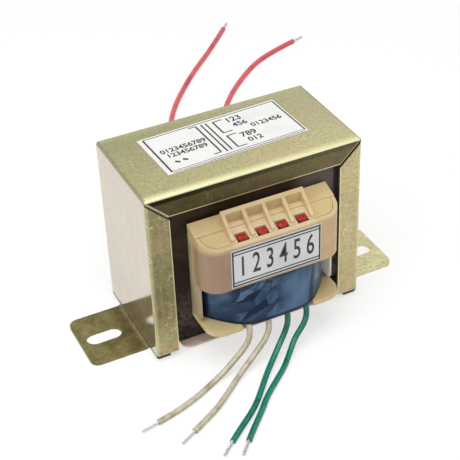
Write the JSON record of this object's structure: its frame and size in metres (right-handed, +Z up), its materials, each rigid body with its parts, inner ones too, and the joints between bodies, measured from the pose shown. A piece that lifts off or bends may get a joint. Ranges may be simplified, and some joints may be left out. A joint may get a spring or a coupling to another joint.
{
  "type": "laminated chassis transformer",
  "caption": "Small mains transformer: laminated core in a folded steel frame with slotted feet, bobbin with taped windings, terminal pockets and flying leads.",
  "frame": {"origin": "centre of the base, on the plane that the feet stand on", "axes": "+Z up from the feet, +X along the feet towards the right foot, +Y to the rear, away from the secondary leads"},
  "size_m": [0.1137, 0.1723, 0.0421],
  "materials": {
    "zinc": "zinc plated and yellow passivated, satin",
    "core": "brown impregnating varnish over bare sheet edges",
    "pressboard": "matte, varnish stained",
    "bobbin": "moulded, satin",
    "copper": "enamelled wire",
    "barrier": "polyester film",
    "wrap": "polyester tape, glossy",
    "liner": "matte insulating paper",
    "sleeve": "satin",
    "paper": "matte, printed with a plain diagram",
    "grey_paper": "matte, printed with plain numbers",
    "white_pvc": "satin insulation",
    "green_pvc": "satin insulation",
    "red_pvc": "satin insulation",
    "tinned": "solder-tinned copper, bright"
  },
  "bodies": {
    "root": {"chassis_frame": "zinc", "e_lamination_front": "core", "e_laminations_legs_down": "core", "e_laminations_legs_up": "core", "i_laminations_bottom": "core", "i_laminations_top": "core", "pressboard_strip": "pressboard", "bobbin": "bobbin", "front_shroud": "bobbin", "rear_shroud": "bobbin", "primary_winding": "copper", "winding_barrier": "barrier", "secondary_winding_a": "copper", "secondary_winding_b": "copper", "outer_wrap": "wrap", "left_leg_liner": "liner", "right_leg_liner": "liner", "front_joint_sleeves": "sleeve", "rear_joint_sleeves": "sleeve", "front_lead_risers": "white_pvc", "rear_lead_risers": "red_pvc", "top_label": "paper", "front_label": "grey_paper", "white_lead_1": "white_pvc", "white_lead_1_tip": "tinned", "white_lead_2": "white_pvc", "white_lead_2_tip": "tinned", "green_lead_1": "green_pvc", "green_lead_1_tip": "tinned", "green_lead_2": "green_pvc", "green_lead_2_tip": "tinned", "red_lead_1": "red_pvc", "red_lead_1_tip": "tinned", "red_lead_2": "red_pvc", "red_lead_2_tip": "tinned"}
  },
  "joints": []
}
